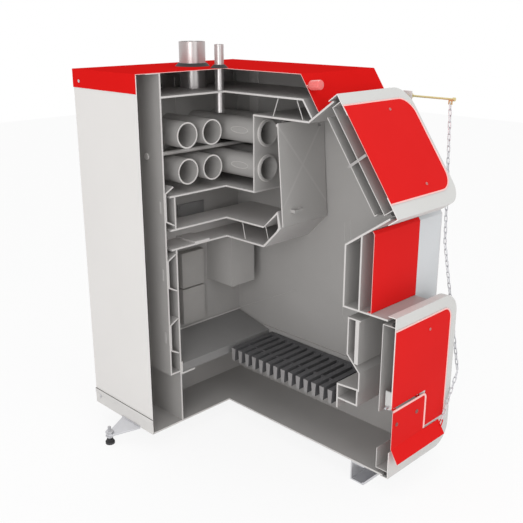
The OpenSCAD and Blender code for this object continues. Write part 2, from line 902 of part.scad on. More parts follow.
module door_frame(half, length, corner, flange, window_half, window_top, window_foot) {
    difference() {
        along(0, flange) round_pane(half, 0, -length, corner);
        along(door_sheet, flange + over)
            round_pane(half - door_sheet, -door_sheet, -length + door_sheet, corner - door_sheet);
        along(-over, door_sheet + over)
            translate([-window_half, window_foot]) square([2 * window_half, window_top - window_foot]);
    }
}

module knuckles(hinge_x, places) {
    for (z = places) translate([hinge_x, hinge_set, z]) difference() {
        union() {
            cylinder(h = knuckle_length, r = knuckle_r);
            block([-knuckle_r - door_sheet, 0, 0], [0, knuckle_r, knuckle_length]);
        }
        translate([0, 0, -over]) cylinder(h = knuckle_length + 2 * over, r = pin_r + run);
    }
}

fill_hinge_x = fill_right + knuckle_r;
knuckle_top = 110;
fill_knuckles = [-knuckle_top, knuckle_top - fill_length - knuckle_length];
window_margin = 60;

module fill_door_frame() {
    color("gainsboro") stand() sectioned() on_fill_door() {
        door_frame(fill_right, fill_length, fill_corner, fill_flange,
            chamber_half - window_margin, -window_margin, -fill_length + window_margin);
        knuckles(fill_hinge_x, fill_knuckles);
    }
}

fill_margin = 14;
fill_panel_right = fill_right - fill_margin;
fill_panel_top = 35;
fill_panel_foot = 303;
fill_panel_corner = 50;

module fill_door_panel() {
    color("crimson") stand() sectioned() on_fill_door()
        along(-panel_thick - run, -run)
            round_pane(fill_panel_right, -fill_panel_top, -fill_panel_foot, fill_panel_corner);
}

pan_depth = 32;
fill_pan_top = 20;
fill_pan_foot = 319;
pan_gap = 14;
fill_pan_half = chamber_half - pan_gap;
pan_sheet = 2;

module fill_door_pan() {
    color("darkgray") stand() sectioned() on_fill_door() difference() {
        block([-fill_pan_half, door_sheet + run, -fill_pan_foot], [fill_pan_half, pan_depth,
            -fill_pan_top]);
        block([-fill_pan_half + pan_sheet, door_sheet - over, -fill_pan_foot + pan_sheet],
            [fill_pan_half - pan_sheet, pan_depth - pan_sheet, -fill_pan_top - pan_sheet]);
        translate([0, pan_depth + over, -bolt_s]) rotate([90, 0, 0])
            cylinder(h = pan_sheet + 2 * over, r = door_bolt_r);
    }
}

bolt_s = 168;
door_bolt_r = 2;
shield_depth = 60;
shield_top = 32;
shield_foot = 308;
shield_inset = 4;
shield_half = fill_pan_half - shield_inset;
shield_lip = 10;

module fill_door_shield() {
    color("darkgray") stand() sectioned() on_fill_door() difference() {
        union() {
            block([-shield_half, shield_depth - pan_sheet, -shield_foot], [shield_half, shield_depth,
                -shield_top]);
            block([-shield_half, shield_depth - shield_lip, -shield_foot],
                [shield_half, shield_depth, -shield_foot + pan_sheet]);
        }
        translate([0, shield_depth + over, -bolt_s]) rotate([90, 0, 0])
            cylinder(h = pan_sheet + 2 * over, r = door_bolt_r);
    }
}

spacer_r = 3.5;
door_nut = 5;

module fill_door_bolt() {
    color("silver") stand() sectioned() on_fill_door() {
        translate([0, shield_depth + 2 * door_nut, -bolt_s]) rotate([90, 0, 0])
            cylinder(h = shield_depth + 2 * door_nut - door_sheet, r = door_bolt_r);
        translate([0, shield_depth - pan_sheet, -bolt_s]) rotate([90, 0, 0])
            cylinder(h = shield_depth - pan_depth - pan_sheet, r = spacer_r);
        translate([0, pan_depth - pan_sheet, -bolt_s]) rotate([90, 0, 0])
            cylinder(h = pan_depth - pan_sheet - door_sheet, r = spacer_r);
        translate([0, shield_depth + door_nut, -bolt_s]) rotate([90, 0, 0])
            cylinder(h = door_nut, r = 2 * door_bolt_r, $fn = hex);
    }
}

ash_hinge_x = ash_right + knuckle_r;
ash_knuckles = [-knuckle_top, knuckle_top / 2 - ash_top + ash_foot];
leaf = 3;
hinge_arm_gap = 1;

// Fixed hinge leaves with their pins, carried by the casing's front
module hinge_arm(hinge_x, z, reach) {
    translate([hinge_x, hinge_set, z - leaf - hinge_arm_gap]) {
        cylinder(h = knuckle_length + hinge_arm_gap + leaf, r = pin_r);
        cylinder(h = leaf, r = knuckle_r);
        block([-knuckle_r, 0, 0], [0, reach, leaf]);
    }
}

fill_down = [-sin(fill_lean), -cos(fill_lean)];
fill_inward = [cos(fill_lean), -sin(fill_lean)];
lean_top = [-cover_slope_front, cover_slope_foot - sheet];
lean_foot = [-case_front, case_knee];
lean_normal = side_of(unit(lean_foot - lean_top));

// Distance from the fill door's front plane to the leaning casing front
function lean_reach(s) = ((lean_top - [-fill_front, fill_top] - s * fill_down) * lean_normal)
    / (fill_inward * lean_normal);

module door_hinges() {
    color("silver") stand() {
        on_ash_door() for (z = ash_knuckles) hinge_arm(ash_hinge_x, z, ash_front - case_front - hinge_set);
        on_fill_door() for (z = fill_knuckles) hinge_arm(fill_hinge_x, z,
            lean_reach(hinge_arm_gap - z) - hinge_set);
    }
}

flap_sheet = 1.6;
flap_window_top = 180;
flap_window_foot = 72;
flap_window_inset = 20;
flap_window_rise = 14;

module ash_door_frame() {
    color("gainsboro") stand() sectioned() on_ash_door() {
        door_frame(ash_right, ash_top - ash_foot, ash_corner, ash_flange,
            flap_right - flap_window_inset, flap_axis_z + flap_window_rise - ash_top,
                flap_window_foot - ash_top);
        knuckles(ash_hinge_x, ash_knuckles);
    }
}

ash_margin = 33;
ash_panel_right = ash_right - ash_margin;
ash_panel_top = 415;
ash_panel_foot = 25;
ash_panel_corner = 32;

module ash_door_panel() {
    color("crimson") stand() sectioned() on_ash_door() difference() {
        along(-panel_thick, 0)
            round_pane(ash_panel_right, ash_panel_top - ash_top, ash_panel_foot - ash_top,
                ash_panel_corner);
        block([-flap_right - flap_gap, -panel_thick - over, ash_panel_foot - ash_top - over],
            [flap_right + flap_gap, over, flap_axis_z + flap_gap - ash_top]);
        block([-huge, -panel_thick - over, -huge],
            [huge, over, flap_bend_z + flap_gap - ash_top]);
    }
}

ash_pan_top = 427;
ash_pan_foot = 12;
ash_pan_gap = 8;
ash_pan_half = chamber_half - ash_pan_gap;
ash_pan_rim = 12;
ash_pan_depth = 40;

module ash_door_pan() {
    color("darkgray") stand() sectioned() on_ash_door() difference() {
        block([-ash_pan_half, door_sheet, ash_pan_foot - ash_top],
            [ash_pan_half, ash_pan_depth, ash_pan_top - ash_top]);
        block([-ash_pan_half + pan_sheet, door_sheet - over, ash_pan_foot + pan_sheet - ash_top],
            [ash_pan_half - pan_sheet, ash_pan_depth - pan_sheet, ash_pan_top - pan_sheet - ash_top]);
        block([-ash_pan_half + ash_pan_rim, ash_pan_depth - pan_sheet - over, flap_window_foot - ash_top],
            [ash_pan_half - ash_pan_rim, ash_pan_depth + over, flap_window_top - ash_top]);
    }
}

// The flap's pin runs behind the frame's window
flap_axis_y = 18.5;
flap_pin_r = 3;
bracket_x = 14;
bracket_right = 120;
bracket_thick = 4;
bracket_top = 238;
bracket_half = 10;
bracket_back = 30;

module flap_brackets() {
    color("gainsboro") stand() sectioned() on_ash_door() pair() for (x = [bracket_x, bracket_right])
        difference() {
            union() {
                block([x, door_sheet, flap_axis_z - ash_top],
                    [x + bracket_thick, bracket_back, bracket_top - ash_top]);
                translate([x, flap_axis_y, flap_axis_z - ash_top]) rotate([0, 90, 0])
                    cylinder(h = bracket_thick, r = bracket_half);
            }
            translate([x - over, flap_axis_y, flap_axis_z - ash_top]) rotate([0, 90, 0])
                cylinder(h = bracket_thick + 2 * over, r = flap_pin_r + run);
        }
}

arm_thick = 3;
arm_gap = 1;
arm_top = 6;
arm_drop = 14;
pin_proud = 6;

module air_flap() {
    front = -panel_thick - flap_gap / 2;
    foot_z = flap_bend_z - lip_height;
    axis_z = flap_axis_z - ash_top;
    arm_back = flap_axis_y + 2 * flap_pin_r;
    pin_end = bracket_right + bracket_thick + pin_proud;
    color("crimson") stand() sectioned() {
        chain_run(foot_start, ear_point, flap_first, ear_count - 1, ear_count - 1);
        on_ash_door() {
            along(front - flap_sheet, front)
                round_pane(flap_right, axis_z, flap_bend_z - ash_top, flap_gap);
            across(-lip_right, lip_right)
                polygon([[front, flap_bend_z - ash_top], [front - flap_sheet, flap_bend_z - ash_top],
                    [-lip_reach, foot_z - ash_top], [-lip_reach + flap_sheet, foot_z - ash_top]]);
            pair() for (x = [bracket_x, bracket_right])
                translate([x + bracket_thick + arm_gap, 0, 0])
                    across(0, arm_thick)
                        polygon([[front, axis_z - flap_pin_r], [flap_axis_y, axis_z + arm_top],
                            [arm_back, axis_z + arm_top], [arm_back, axis_z - arm_top],
                            [front, axis_z - arm_drop]]);
            translate([-pin_end, flap_axis_y, axis_z]) rotate([0, 90, 0])
                cylinder(h = 2 * pin_end, r = flap_pin_r);
        }
    }
}

lever_drop = 68.5;
lever_z = cover_top - lever_drop;

// Chain: flat oval links, every second one turned a quarter
link_length = 22;
link_half = 5;
wire = 1.5;
link_play = 0.1;
link_step = link_length - 4 * wire - link_play;

module link_arc(sense) {
    translate([0, 0, sense * (link_length / 2 - link_half)]) rotate([90, 0, 0])
        rotate_extrude(angle = sense * 180, $fn = 24) translate([link_half - wire, 0]) circle(r = wire,
            $fn = 16);
}

module link() {
    straight = link_length - 2 * link_half;
    link_arc(1);
    link_arc(-1);
    for (x = [-1, 1]) translate([x * (link_half - wire), 0, -straight / 2])
        cylinder(h = straight, r = wire, $fn = 16);
}

// Number of links that hang between two points, and where the last one ends
function link_count(a, b) = floor((norm(b - a) - link_length) / link_step) + 1;
function run_end(a, b) = a + unit(b - a) * (link_length + (link_count(a, b) - 1) * link_step);
// Where the next length starts, its first link through the last one
function next_start(a, b, play) = run_end(a, b) - unit(b - a) * (4 * wire + play);

// Links of a chain hung from the first point to the second
module chain_run(a, b, first, start, end) {
    gap = b - a;
    tilt = acos(-gap[2] / norm(gap));
    turn = atan2(gap[1], gap[0]);
    translate(a) rotate([0, 0, turn]) rotate([0, -tilt, 0])
        for (i = [start:end])
            translate([0, 0, -link_length / 2 - i * link_step]) rotate([0, 0,
                90 * ((i + first) % 2)]) link();
}

chain_out = 12;
chain_x = case_half + chain_out;
chain_hook = 8;
chain_top = [chain_x, -532, lever_z - chain_hook];
chain_bend = [chain_x, -548, 560];
chain_foot = [chain_x, -622, 190];
bend_start = next_start(chain_top, chain_bend, link_play);
foot_start = run_end(bend_start, chain_foot) - [0, 0, 3 * seat];
ear_inset = 13;
ear_set = 12;
ear_drop = 24;
ear_point = [lip_right - ear_inset, -lip_front + ear_set, flap_bend_z - ear_drop];
top_count = link_count(chain_top, chain_bend);
bend_count = link_count(bend_start, chain_foot);
ear_count = link_count(foot_start, ear_point);
flap_first = 1 + top_count + bend_count;

module upper_chain() {
    color("silver") stand() {
        chain_run(chain_top, chain_bend, 1, 0, top_count - 1);
        chain_run(bend_start, chain_foot, 1 + top_count, 0, bend_count - 1);
    }
}

// The last link is the flap's own eye
module lower_chain() {
    color("silver") stand() chain_run(foot_start, ear_point, flap_first, 0, ear_count - 2);
}

// Draught regulator
knob_x = 8;
knob_r = 14;
knob_length = 42;
knob_rise = 5;
knob_slope_share = 0.31;
knob_neck_share = 0.22;
knob_neck_r = 7;
knob_bite = 4;

knob_boss_r = 7.5;
knob_boss_length = 5;

module on_cover_slope() {
    translate([knob_x, -mix(cover_flat_front, cover_slope_front, knob_slope_share),
        mix(cover_top, cover_slope_foot, knob_slope_share)])
        rotate([90 - knob_rise, 0, 0]) children();
}

module knob_boss() {
    difference() {
        on_cover_slope() translate([0, 0, -knob_bite])
            cylinder(h = knob_boss_length + knob_bite, r = knob_boss_r);
        across(-huge / 2, huge / 2)
            polygon([[-cover_flat_front, cover_top - sheet / 2], [-cover_slope_front + sheet / 2,
                cover_slope_foot],
                [0, cover_slope_foot], [0, cover_top - sheet / 2]]);
    }
}

module regulator_knob() {
    color("crimson") stand() on_cover_slope() {
        translate([0, 0, knob_boss_length + run])
            cylinder(h = knob_length * knob_neck_share - knob_boss_length, r = knob_neck_r);
        translate([0, 0, knob_length * knob_neck_share])
            cylinder(h = knob_length * (1 - knob_neck_share), r = knob_r);
    }
}

lever_r = 3;
lever_x = chain_x;
lever_axis_y = -405;
lever_length = 136;
lever_pin_r = 4;
lug_plate = 2;
lug_reach = 6;
lug_hole_r = 3;
body_half = 14;
body_drop = 30;
body_back = 80;
boss_half = 5;
boss_r = 8;
pin_inside = 4;

module regulator_body() {
    color("dimgray") stand() difference() {
        union() {
            block([case_half, lever_axis_y - body_half, lever_z - 2 * body_drop],
                [case_half + lug_plate, lever_axis_y + body_back, lever_z - body_drop]);
            block([case_half, lever_axis_y - body_half, lever_z - body_drop],
                [case_half + lug_plate, lever_axis_y + body_half, lever_z + body_half]);
        }
        translate([case_half - over, lever_axis_y, lever_z]) rotate([0, 90, 0])
            cylinder(h = lug_plate + 2 * over, r = lever_pin_r + run);
    }
}

module regulator_lever() {
    color("goldenrod") stand() {
        translate([case_half - pin_inside, lever_axis_y, lever_z]) rotate([0, 90, 0])
            cylinder(h = lever_x - case_half + pin_inside, r = lever_pin_r);
        translate([lever_x, lever_axis_y, lever_z]) rotate([0, 90, 0])
            translate([0, 0, -boss_half]) cylinder(h = 2 * boss_half, r = boss_r);
        translate([lever_x, lever_axis_y, lever_z]) rotate([90, 0, 0])
            cylinder(h = lever_length, r = lever_r, $fn = hex);
        translate([lever_x, lever_axis_y - lever_length + lug_plate, lever_z]) rotate([90, 0, 0])
            cylinder(h = lug_reach, r = lever_r + lug_plate);
        difference() {
            block([lever_x - lug_plate / 2, chain_top[1] - lug_reach, chain_top[2] - lug_reach],
                [lever_x + lug_plate / 2, chain_top[1] + lug_reach, lever_z]);
            translate([lever_x - lug_plate, chain_top[1], chain_top[2] + lug_hole_r - 2 * wire - 2 * seat])
                rotate([0, 90, 0]) cylinder(h = 2 * lug_plate, r = lug_hole_r);
        }
    }
}

screw_r = 4;
screw_rise = 2;
screw_inset = 103;
screw_drop = 26;

module screw_head(x, z) translate([x, -panel_thick - 2 * run, z]) rotate([90, 0, 0])
    cylinder(h = screw_rise, r = screw_r);

module door_screws() {
    color("silver") stand() {
        on_fill_door() {
            screw_head(fill_panel_right - screw_inset, -fill_panel_top - screw_drop);
            screw_head(fill_panel_right - screw_inset, -fill_panel_foot + screw_drop);
        }
    }
}

left_side_panel();
right_side_panel();
front_surround();
rear_panel();
top_cover();
mid_front_panel();
base_sheet();
base_rails();
front_foot();
left_foot_bracket();
right_foot_bracket();
left_levelling_foot();
right_levelling_foot();
outer_shell();
front_closure();
vessel_top();
cover_rails();
inner_shell();
tube_floor();
front_tube_plate();
chamber_roof();
fill_neck_top();
front_box_inner();
front_box_outer();
water_shelf();
fire_tubes();
tie_rod();
jacket_channels();
rear_ledge();
rear_bricks();
riser_duct();
grate_ledges();
grate();
grate_beam();
ash_guard();
guard_bar();
tube_flap();
tube_flap_hinge();
flow_pipe();
sensor_pocket();
pipe_seals();
flue_spigot();
return_pipe();
fill_door_frame();
fill_door_panel();
fill_door_pan();
fill_door_shield();
fill_door_bolt();
door_hinges();
ash_door_frame();
ash_door_panel();
ash_door_pan();
flap_brackets();
air_flap();
lower_chain();
regulator_knob();
regulator_body();
regulator_lever();
upper_chain();
door_screws();
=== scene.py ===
import bpy
from math import cos, radians, sin
from mathutils import Matrix, Vector


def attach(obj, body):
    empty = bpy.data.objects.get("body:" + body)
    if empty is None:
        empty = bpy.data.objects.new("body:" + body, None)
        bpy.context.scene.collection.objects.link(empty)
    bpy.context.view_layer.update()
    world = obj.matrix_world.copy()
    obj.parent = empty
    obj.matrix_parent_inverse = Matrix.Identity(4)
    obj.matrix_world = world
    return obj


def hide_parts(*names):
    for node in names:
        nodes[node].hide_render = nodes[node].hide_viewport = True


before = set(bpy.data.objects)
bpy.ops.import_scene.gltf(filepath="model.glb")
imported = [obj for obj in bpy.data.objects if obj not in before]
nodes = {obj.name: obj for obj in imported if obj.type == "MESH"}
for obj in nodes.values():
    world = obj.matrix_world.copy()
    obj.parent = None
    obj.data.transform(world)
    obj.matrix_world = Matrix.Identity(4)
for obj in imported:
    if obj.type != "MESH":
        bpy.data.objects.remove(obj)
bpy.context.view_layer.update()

# Viewpoint. The boiler is seen from its cut-away corner, the front left one,
# from a little above its middle and about two and a half metres away.
picture_width, focal_length = 523, 770.06  # both in pixels
film_width = 36
view_unit = 0.305  # metres to a unit of the solved view
azimuth, elevation, roll = radians(-44.992), radians(18.098), radians(-0.032)
back = Vector((sin(azimuth) * cos(elevation), -cos(azimuth) * cos(elevation), sin(elevation)))
level = Vector((0, 0, 1)).cross(back).normalized()
upward = back.cross(level)
right = level * cos(roll) + upward * sin(roll)
above = upward * cos(roll) - level * sin(roll)
section_corner = Vector((0, 0.1375, 0.064))
seen_from = (right * 0.337 + above * 1.430 + back * 8.065) * view_unit + section_corner
bpy.ops.object.select_all(action="DESELECT")
bpy.ops.object.camera_add(location=seen_from)
camera = bpy.context.object
camera.rotation_euler = Matrix((right, above, back)).transposed().to_euler()
camera.data.sensor_width = film_width
camera.data.lens = focal_length / picture_width * film_width
bpy.context.scene.camera = camera
bpy.context.scene.view_settings.view_transform = "Standard"


# Display room. A pale floor runs out to white, and the light is that of a
# white tent: one broad panel to the left, a weaker one in front, one above.
class Socket:
    """An output of a node, which adds, multiplies and compares like a number."""

    def __init__(self, finish, out):
        self.finish, self.out = finish, out

    def maths(self, operation, *values):
        return self.finish.node("ShaderNodeMath", {"operation": operation}, dict(enumerate(values)))

    def __add__(self, other):
        return self.maths("ADD", self, other)

    def __mul__(self, other):
        return self.maths("MULTIPLY", self, other)

    def __sub__(self, other):
        return self.maths("SUBTRACT", self, other)

    def __rsub__(self, other):
        return self.maths("SUBTRACT", other, self)

    def __lt__(self, other):
        return self.maths("LESS_THAN", self, other)

    def __gt__(self, other):
        return self.maths("GREATER_THAN", self, other)

    def size(self):
        return self.maths("ABSOLUTE", self)

    def smaller(self, other):
        return self.maths("MINIMUM", self, other)

    def larger(self, other):
        return self.maths("MAXIMUM", self, other)

    __radd__ = __add__
    __rmul__ = __mul__


class Finish:
    """A material, with its nodes added one by one."""

    def __init__(self, name, **constants):
        self.material = bpy.data.materials.new(name)
        self.material.use_nodes = True
        self.tree = self.material.node_tree
        self.surface = self.tree.nodes["Principled BSDF"]
        for socket, value in constants.items():
            self.surface.inputs[socket.replace("_", " ")].default_value = value

    def node(self, kind, settings, inputs, output=0):
        node = self.tree.nodes.new(kind)
        for name, value in settings.items():
            setattr(node, name, value)
        for name, value in inputs.items():
            if isinstance(value, Socket):
                self.tree.links.new(value.out, node.inputs[name])
            else:
                node.inputs[name].default_value = value
        return Socket(self, node.outputs[output])

    def feed(self, name, value):
        self.tree.links.new(value.out, self.surface.inputs[name])

    def place(self):
        return self.node("ShaderNodeTexCoord", {}, {}, "Object")

    def facing(self):
        return self.node("ShaderNodeTexCoord", {}, {}, "Normal")

    def axes(self, vector):
        split = self.tree.nodes.new("ShaderNodeSeparateXYZ")
        self.tree.links.new(vector.out, split.inputs[0])
        return [Socket(self, out) for out in split.outputs]

    def cloud(self, scale, detail=3, stretch=(1, 1, 1)):
        place = self.node("ShaderNodeMapping", {}, {"Vector": self.place(), "Scale": stretch})
        inputs = {"Vector": place, "Scale": scale, "Detail": detail}
        return self.node("ShaderNodeTexNoise", {}, inputs, "Fac")

    def blend(self, mask, first, second):
        return self.node("ShaderNodeMix", {"data_type": "RGBA"}, {0: mask, 6: first, 7: second}, 2)

    def bump(self, height, distance):
        rough = self.node("ShaderNodeBump", {}, {"Height": height, "Distance": distance})
        self.feed("Normal", rough)

    def cut(self):
        """Where the display section went through: the faces on its two planes."""
        hair, square = 0.0006, -0.9
        x, y = self.axes(self.place())[:2]
        across, along = self.axes(self.facing())[:2]
        middle = (x.size() < hair) * (across < square)
        rear = ((y - section_corner.y).size() < hair) * (along < square)
        return middle.larger(rear)

    def paint(self, tint, bare):
        """The colour, with the sawn edges bare."""
        self.feed("Base Color", self.blend(self.cut(), tint, bare))


bpy.ops.object.select_all(action="DESELECT")
bpy.ops.mesh.primitive_plane_add(size=14, location=(0, 0, -0.0005))
floor = bpy.context.object
floor.name = "floor"
pale = Finish("floor_pale", Base_Color=(0.86, 0.86, 0.86, 1), Roughness=0.8)
sees = pale.node("ShaderNodeLightPath", {}, {}, "Is Camera Ray")
mirrored = pale.node("ShaderNodeLightPath", {}, {}, "Is Glossy Ray")
white = pale.node("ShaderNodeEmission", {}, {"Color": (1, 1, 1, 1), "Strength": 1.0})
mixed = pale.node("ShaderNodeMixShader", {}, {0: sees.larger(mirrored) * 0.88, 2: white})
pale.tree.links.new(pale.surface.outputs[0], mixed.out.node.inputs[1])
pale.tree.links.new(mixed.out, pale.tree.nodes["Material Output"].inputs[0])
floor.data.materials.append(pale.material)

world = bpy.data.worlds.new("tent")
bpy.context.scene.world = world
world.use_nodes = True
tent = world.node_tree
sky = tent.nodes["Background"]
sky.inputs["Color"].default_value = (1, 1, 1, 1)
ray = tent.nodes.new("ShaderNodeLightPath")
shown = tent.nodes.new("ShaderNodeMath")
shown.operation = "MAXIMUM"
tent.links.new(ray.outputs["Is Camera Ray"], shown.inputs[0])
tent.links.new(ray.outputs["Is Glossy Ray"], shown.inputs[1])
brightness = tent.nodes.new("ShaderNodeMapRange")
brightness.inputs["To Min"].default_value = 0.80
brightness.inputs["To Max"].default_value = 1.0
tent.links.new(shown.outputs[0], brightness.inputs["Value"])
tent.links.new(brightness.outputs[0], sky.inputs["Strength"])

for name, place, aim, width, power in (
        ("light_left", (-3.0, -1.6, 1.3), (0, 0.1, 0.6), 1.8, 34),
        ("light_front", (-0.6, -3.4, 1.6), (0, 0, 0.5), 2.0, 16),
        ("light_top", (-0.4, -0.6, 3.4), (0, 0, 0.6), 2.4, 10)):
    bpy.ops.object.select_all(action="DESELECT")
    bpy.ops.object.light_add(type="AREA", location=place)
    lamp = bpy.context.object
    lamp.name = name
    lamp.data.size = width
    lamp.data.energy = power
    lamp.rotation_euler = (Vector(place) - Vector(aim)).to_track_quat("Z", "Y").to_euler()


# Side and rear sheets. Folded from 1.5 mm steel and powder coated a warm
# off-white with a fine orange peel; the sawn edges show bare.
def dress(finish, *names):
    """Gives CAD nodes their finish."""
    for name in names:
        nodes[name].data.materials.clear()
        nodes[name].data.materials.append(finish.material)


def coated(name, near, far, bare, spread, peel=900, depth=0.00006, **constants):
    """Powder coat: two near tones, a fine orange peel and bare sawn edges."""
    finish = Finish(name, **constants)
    finish.paint(finish.blend(finish.cloud(spread), near, far), bare)
    finish.bump(finish.cloud(peel, 2), depth)
    return finish


casing_white = coated("casing_white", (0.690, 0.672, 0.655, 1), (0.725, 0.707, 0.690, 1),
                      (0.86, 0.84, 0.82, 1), 5, Roughness=0.42, Specular_IOR_Level=0.3)
dress(casing_white, "left_side_panel", "right_side_panel", "rear_panel", "regulator_body")

# Front surround. The folded sheet round the doors, which closes the casing, in
# the same coat, painted a little cooler and greyer: a painted shade of its front faces.
surround_white_shaded = coated("surround_white_shaded", (0.60, 0.615, 0.63, 1), (0.64, 0.655, 0.67, 1),
                        (0.72, 0.70, 0.68, 1), 5, Roughness=0.42, Specular_IOR_Level=0.3)
dress(surround_white_shaded, "front_surround")

# Base rails. Folded strips along the foot of each side, in a slightly greyer
# coat; their top edge is painted near black, a painted shade of the gap above them.
shaded_gap_height = 0.1065
rail_grey = Finish("rail_grey", Roughness=0.42, Specular_IOR_Level=0.3)
height = rail_grey.axes(rail_grey.place())[2]
tint = rail_grey.blend(rail_grey.cloud(5), (0.62, 0.605, 0.59, 1), (0.66, 0.645, 0.63, 1))
# Painted shade: near black above this height, standing for the gap between rail and side panel.
tint = rail_grey.blend(height > shaded_gap_height, tint, (0.10, 0.095, 0.09, 1))
rail_grey.paint(tint, (0.72, 0.70, 0.68, 1))
rail_grey.bump(rail_grey.cloud(900, 2), 0.00006)
dress(rail_grey, "base_rails")

# Red panels. The doors' outer sheets, the panel between them and the air flap,
# folded from thin sheet and powder coated red, with pink sawn edges.
red_rim = (0.80, 0.46, 0.44, 1)
panel_red = coated("panel_red", (0.66, 0.010, 0.010, 1), (0.72, 0.014, 0.013, 1), red_rim,
                   4, 850, 0.00005, Roughness=0.55, Specular_IOR_Level=0.05)
dress(panel_red, "mid_front_panel", "fill_door_panel", "ash_door_panel", "air_flap")

# Cover. One folded red sheet, which lies on the casing and hooks over its
# sides. Its inside is left in the grey primer.
downward = -0.3
cover_red = Finish("cover_red", Roughness=0.6, Specular_IOR_Level=0.0)
up = cover_red.axes(cover_red.facing())[2]
tint = cover_red.blend(cover_red.cloud(4), (0.64, 0.010, 0.009, 1), (0.69, 0.013, 0.012, 1))
primer = cover_red.blend(cover_red.cloud(9, 4), (0.40, 0.345, 0.345, 1), (0.47, 0.41, 0.41, 1))
cover_red.paint(cover_red.blend(up < downward, tint, primer), red_rim)
cover_red.bump(cover_red.cloud(850, 2), 0.00005)
dress(cover_red, "top_cover")

# Door frames and flap brackets. Deep-drawn steel trays that carry the panels
# and the seals, and folded lugs for the air flap, powder coated a pale grey.
trim_grey = coated("trim_grey", (0.60, 0.60, 0.585, 1), (0.64, 0.64, 0.625, 1),
                   (0.84, 0.80, 0.78, 1), 6, Roughness=0.45, Specular_IOR_Level=0.3)
dress(trim_grey, "fill_door_frame", "ash_door_frame", "flap_brackets")


# Pressure vessel. Welded from 5 mm boiler plate and primed a matt warm grey;
# the sawn edges are ground bright.
def primed(name, near, far, bare, least, span):
    """Primer on plate: two near tones, upright streaks in its sheen, bare sawn edges."""
    finish = Finish(name, Specular_IOR_Level=0.4)
    finish.paint(finish.blend(finish.cloud(7, 5), near, far), bare)
    finish.feed("Roughness", least + finish.cloud(14, 4, (1, 1, 0.12)) * span)
    finish.bump(finish.cloud(420, 3), 0.00012)
    return finish


ground = (0.62, 0.60, 0.585, 1)
boiler_plate = primed("boiler_plate", (0.360, 0.348, 0.339, 1), (0.430, 0.418, 0.407, 1),
                      ground, 0.42, 0.22)
dress(boiler_plate, "outer_shell", "front_closure", "vessel_top", "cover_rails", "inner_shell",
      "front_tube_plate", "chamber_roof", "fill_neck_top", "front_box_inner", "front_box_outer",
      "jacket_channels", "riser_duct", "grate_ledges", "grate_beam", "ash_guard", "guard_bar",
      "tube_flap_hinge", "flue_spigot", "base_sheet", "fill_door_pan", "fill_door_shield",
      "ash_door_pan")

# Water shelf and tube floor. The two levels of plate under the tubes, a shade
# paler than the plate round them.
shelf_plate = primed("shelf_plate", (0.47, 0.452, 0.442, 1), (0.55, 0.532, 0.522, 1),
                     (0.64, 0.62, 0.605, 1), 0.40, 0.2)
dress(shelf_plate, "water_shelf", "tube_floor")

# Tube flap. The hanging plate ahead of the tubes, a shade paler, with two
# faint creases that cross it from corner to corner, drawn as pale lines: a painted highlight.
crossing_x, crossing_z = 0.09, 0.835
slope, half_width = 0.80, 0.004
flap_plate = Finish("flap_plate", Specular_IOR_Level=0.4)
x, z = flap_plate.axes(flap_plate.place())[::2]
aside, rise = x - crossing_x, (z - crossing_z) * slope
crease_highlight = (aside - rise).size().smaller((aside + rise).size())
tint = flap_plate.blend(flap_plate.cloud(7, 5), (0.395, 0.383, 0.373, 1), (0.455, 0.443, 0.432, 1))
# Painted highlight: paler along the two crease lines.
flap_plate.paint(flap_plate.blend(crease_highlight < half_width, tint, (0.466, 0.454, 0.443, 1)), ground)
flap_plate.feed("Roughness", 0.42 + flap_plate.cloud(14, 4, (1, 1, 0.12)) * 0.22)
flap_plate.bump(flap_plate.cloud(420, 3), 0.00012)
dress(flap_plate, "tube_flap")

# Fire tubes. Drawn steel tube, primed like the plate and a shade paler, with
# faint marks along the draw. Each is welded in at both ends.
tube_steel = Finish("tube_steel")
drawn = tube_steel.cloud(30, 4, (1, 0.06, 1))
tint = tube_steel.blend(drawn, (0.36, 0.348, 0.338, 1), (0.44, 0.428, 0.416, 1))
tube_steel.paint(tint, (0.66, 0.64, 0.62, 1))
tube_steel.feed("Roughness", 0.38 + drawn * 0.2)
tube_steel.bump(tube_steel.cloud(300, 3), 0.00010)
dress(tube_steel, "fire_tubes")


# Tube welds and highlight ovals. A rippled bead round each tube where it meets
# its plate, and a pale oval wire on each of the two tubes beside the section, a painted highlight.
def at(x, y, z):
    """A place in millimetres from the section's corner and the base sheet."""
    return Vector((x, y, z)) / 1000 + section_corner


def alone(piece=None):
    """Leaves one piece selected, or none."""
    bpy.ops.object.select_all(action="DESELECT")
    if piece:
        piece.select_set(True)
        bpy.context.view_layer.objects.active = piece


def wire(points, radius, closed=False):
    """A round wire, drawn point by point and then given its thickness."""
    alone()
    bpy.ops.mesh.primitive_plane_add(size=0.001, location=points[0])
    piece = bpy.context.object
    bpy.ops.object.mode_set(mode="EDIT")
    bpy.ops.mesh.merge(type="CENTER")
    for here, there in zip(points, points[1:]):
        bpy.ops.mesh.extrude_region_move(TRANSFORM_OT_translate={"value": there - here})
    bpy.ops.object.mode_set(mode="OBJECT")
    if closed:
        piece.data.vertices[0].select = True
        bpy.ops.object.mode_set(mode="EDIT")
        bpy.ops.mesh.edge_face_add()
        bpy.ops.object.mode_set(mode="OBJECT")
    bpy.ops.object.convert(target="CURVE")
    piece = bpy.context.object
    piece.data.dimensions = "3D"
    piece.data.bevel_depth = radius
    piece.data.bevel_resolution = 3
    piece.data.use_fill_caps = not closed
    bpy.ops.object.convert(target="MESH")
    return bpy.context.object


def joined(pieces):
    """Makes one piece of several."""
    alone(pieces[0])
    for piece in pieces:
        piece.select_set(True)
    if len(pieces) > 1:
        bpy.ops.object.join()
    return bpy.context.object


def fit(piece, name, finish, body, slot, *stands_for):
    """Fixes a finished piece in its place on a body."""
    alone(piece)
    bpy.ops.object.transform_apply(location=True, rotation=True, scale=True)
    bpy.ops.object.shade_smooth_by_angle(angle=radians(35))
    piece.name = name
    piece.data.materials.clear()
    piece.data.materials.append(finish.material)
    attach(piece, body)
    if stands_for:
        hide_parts(*stands_for)


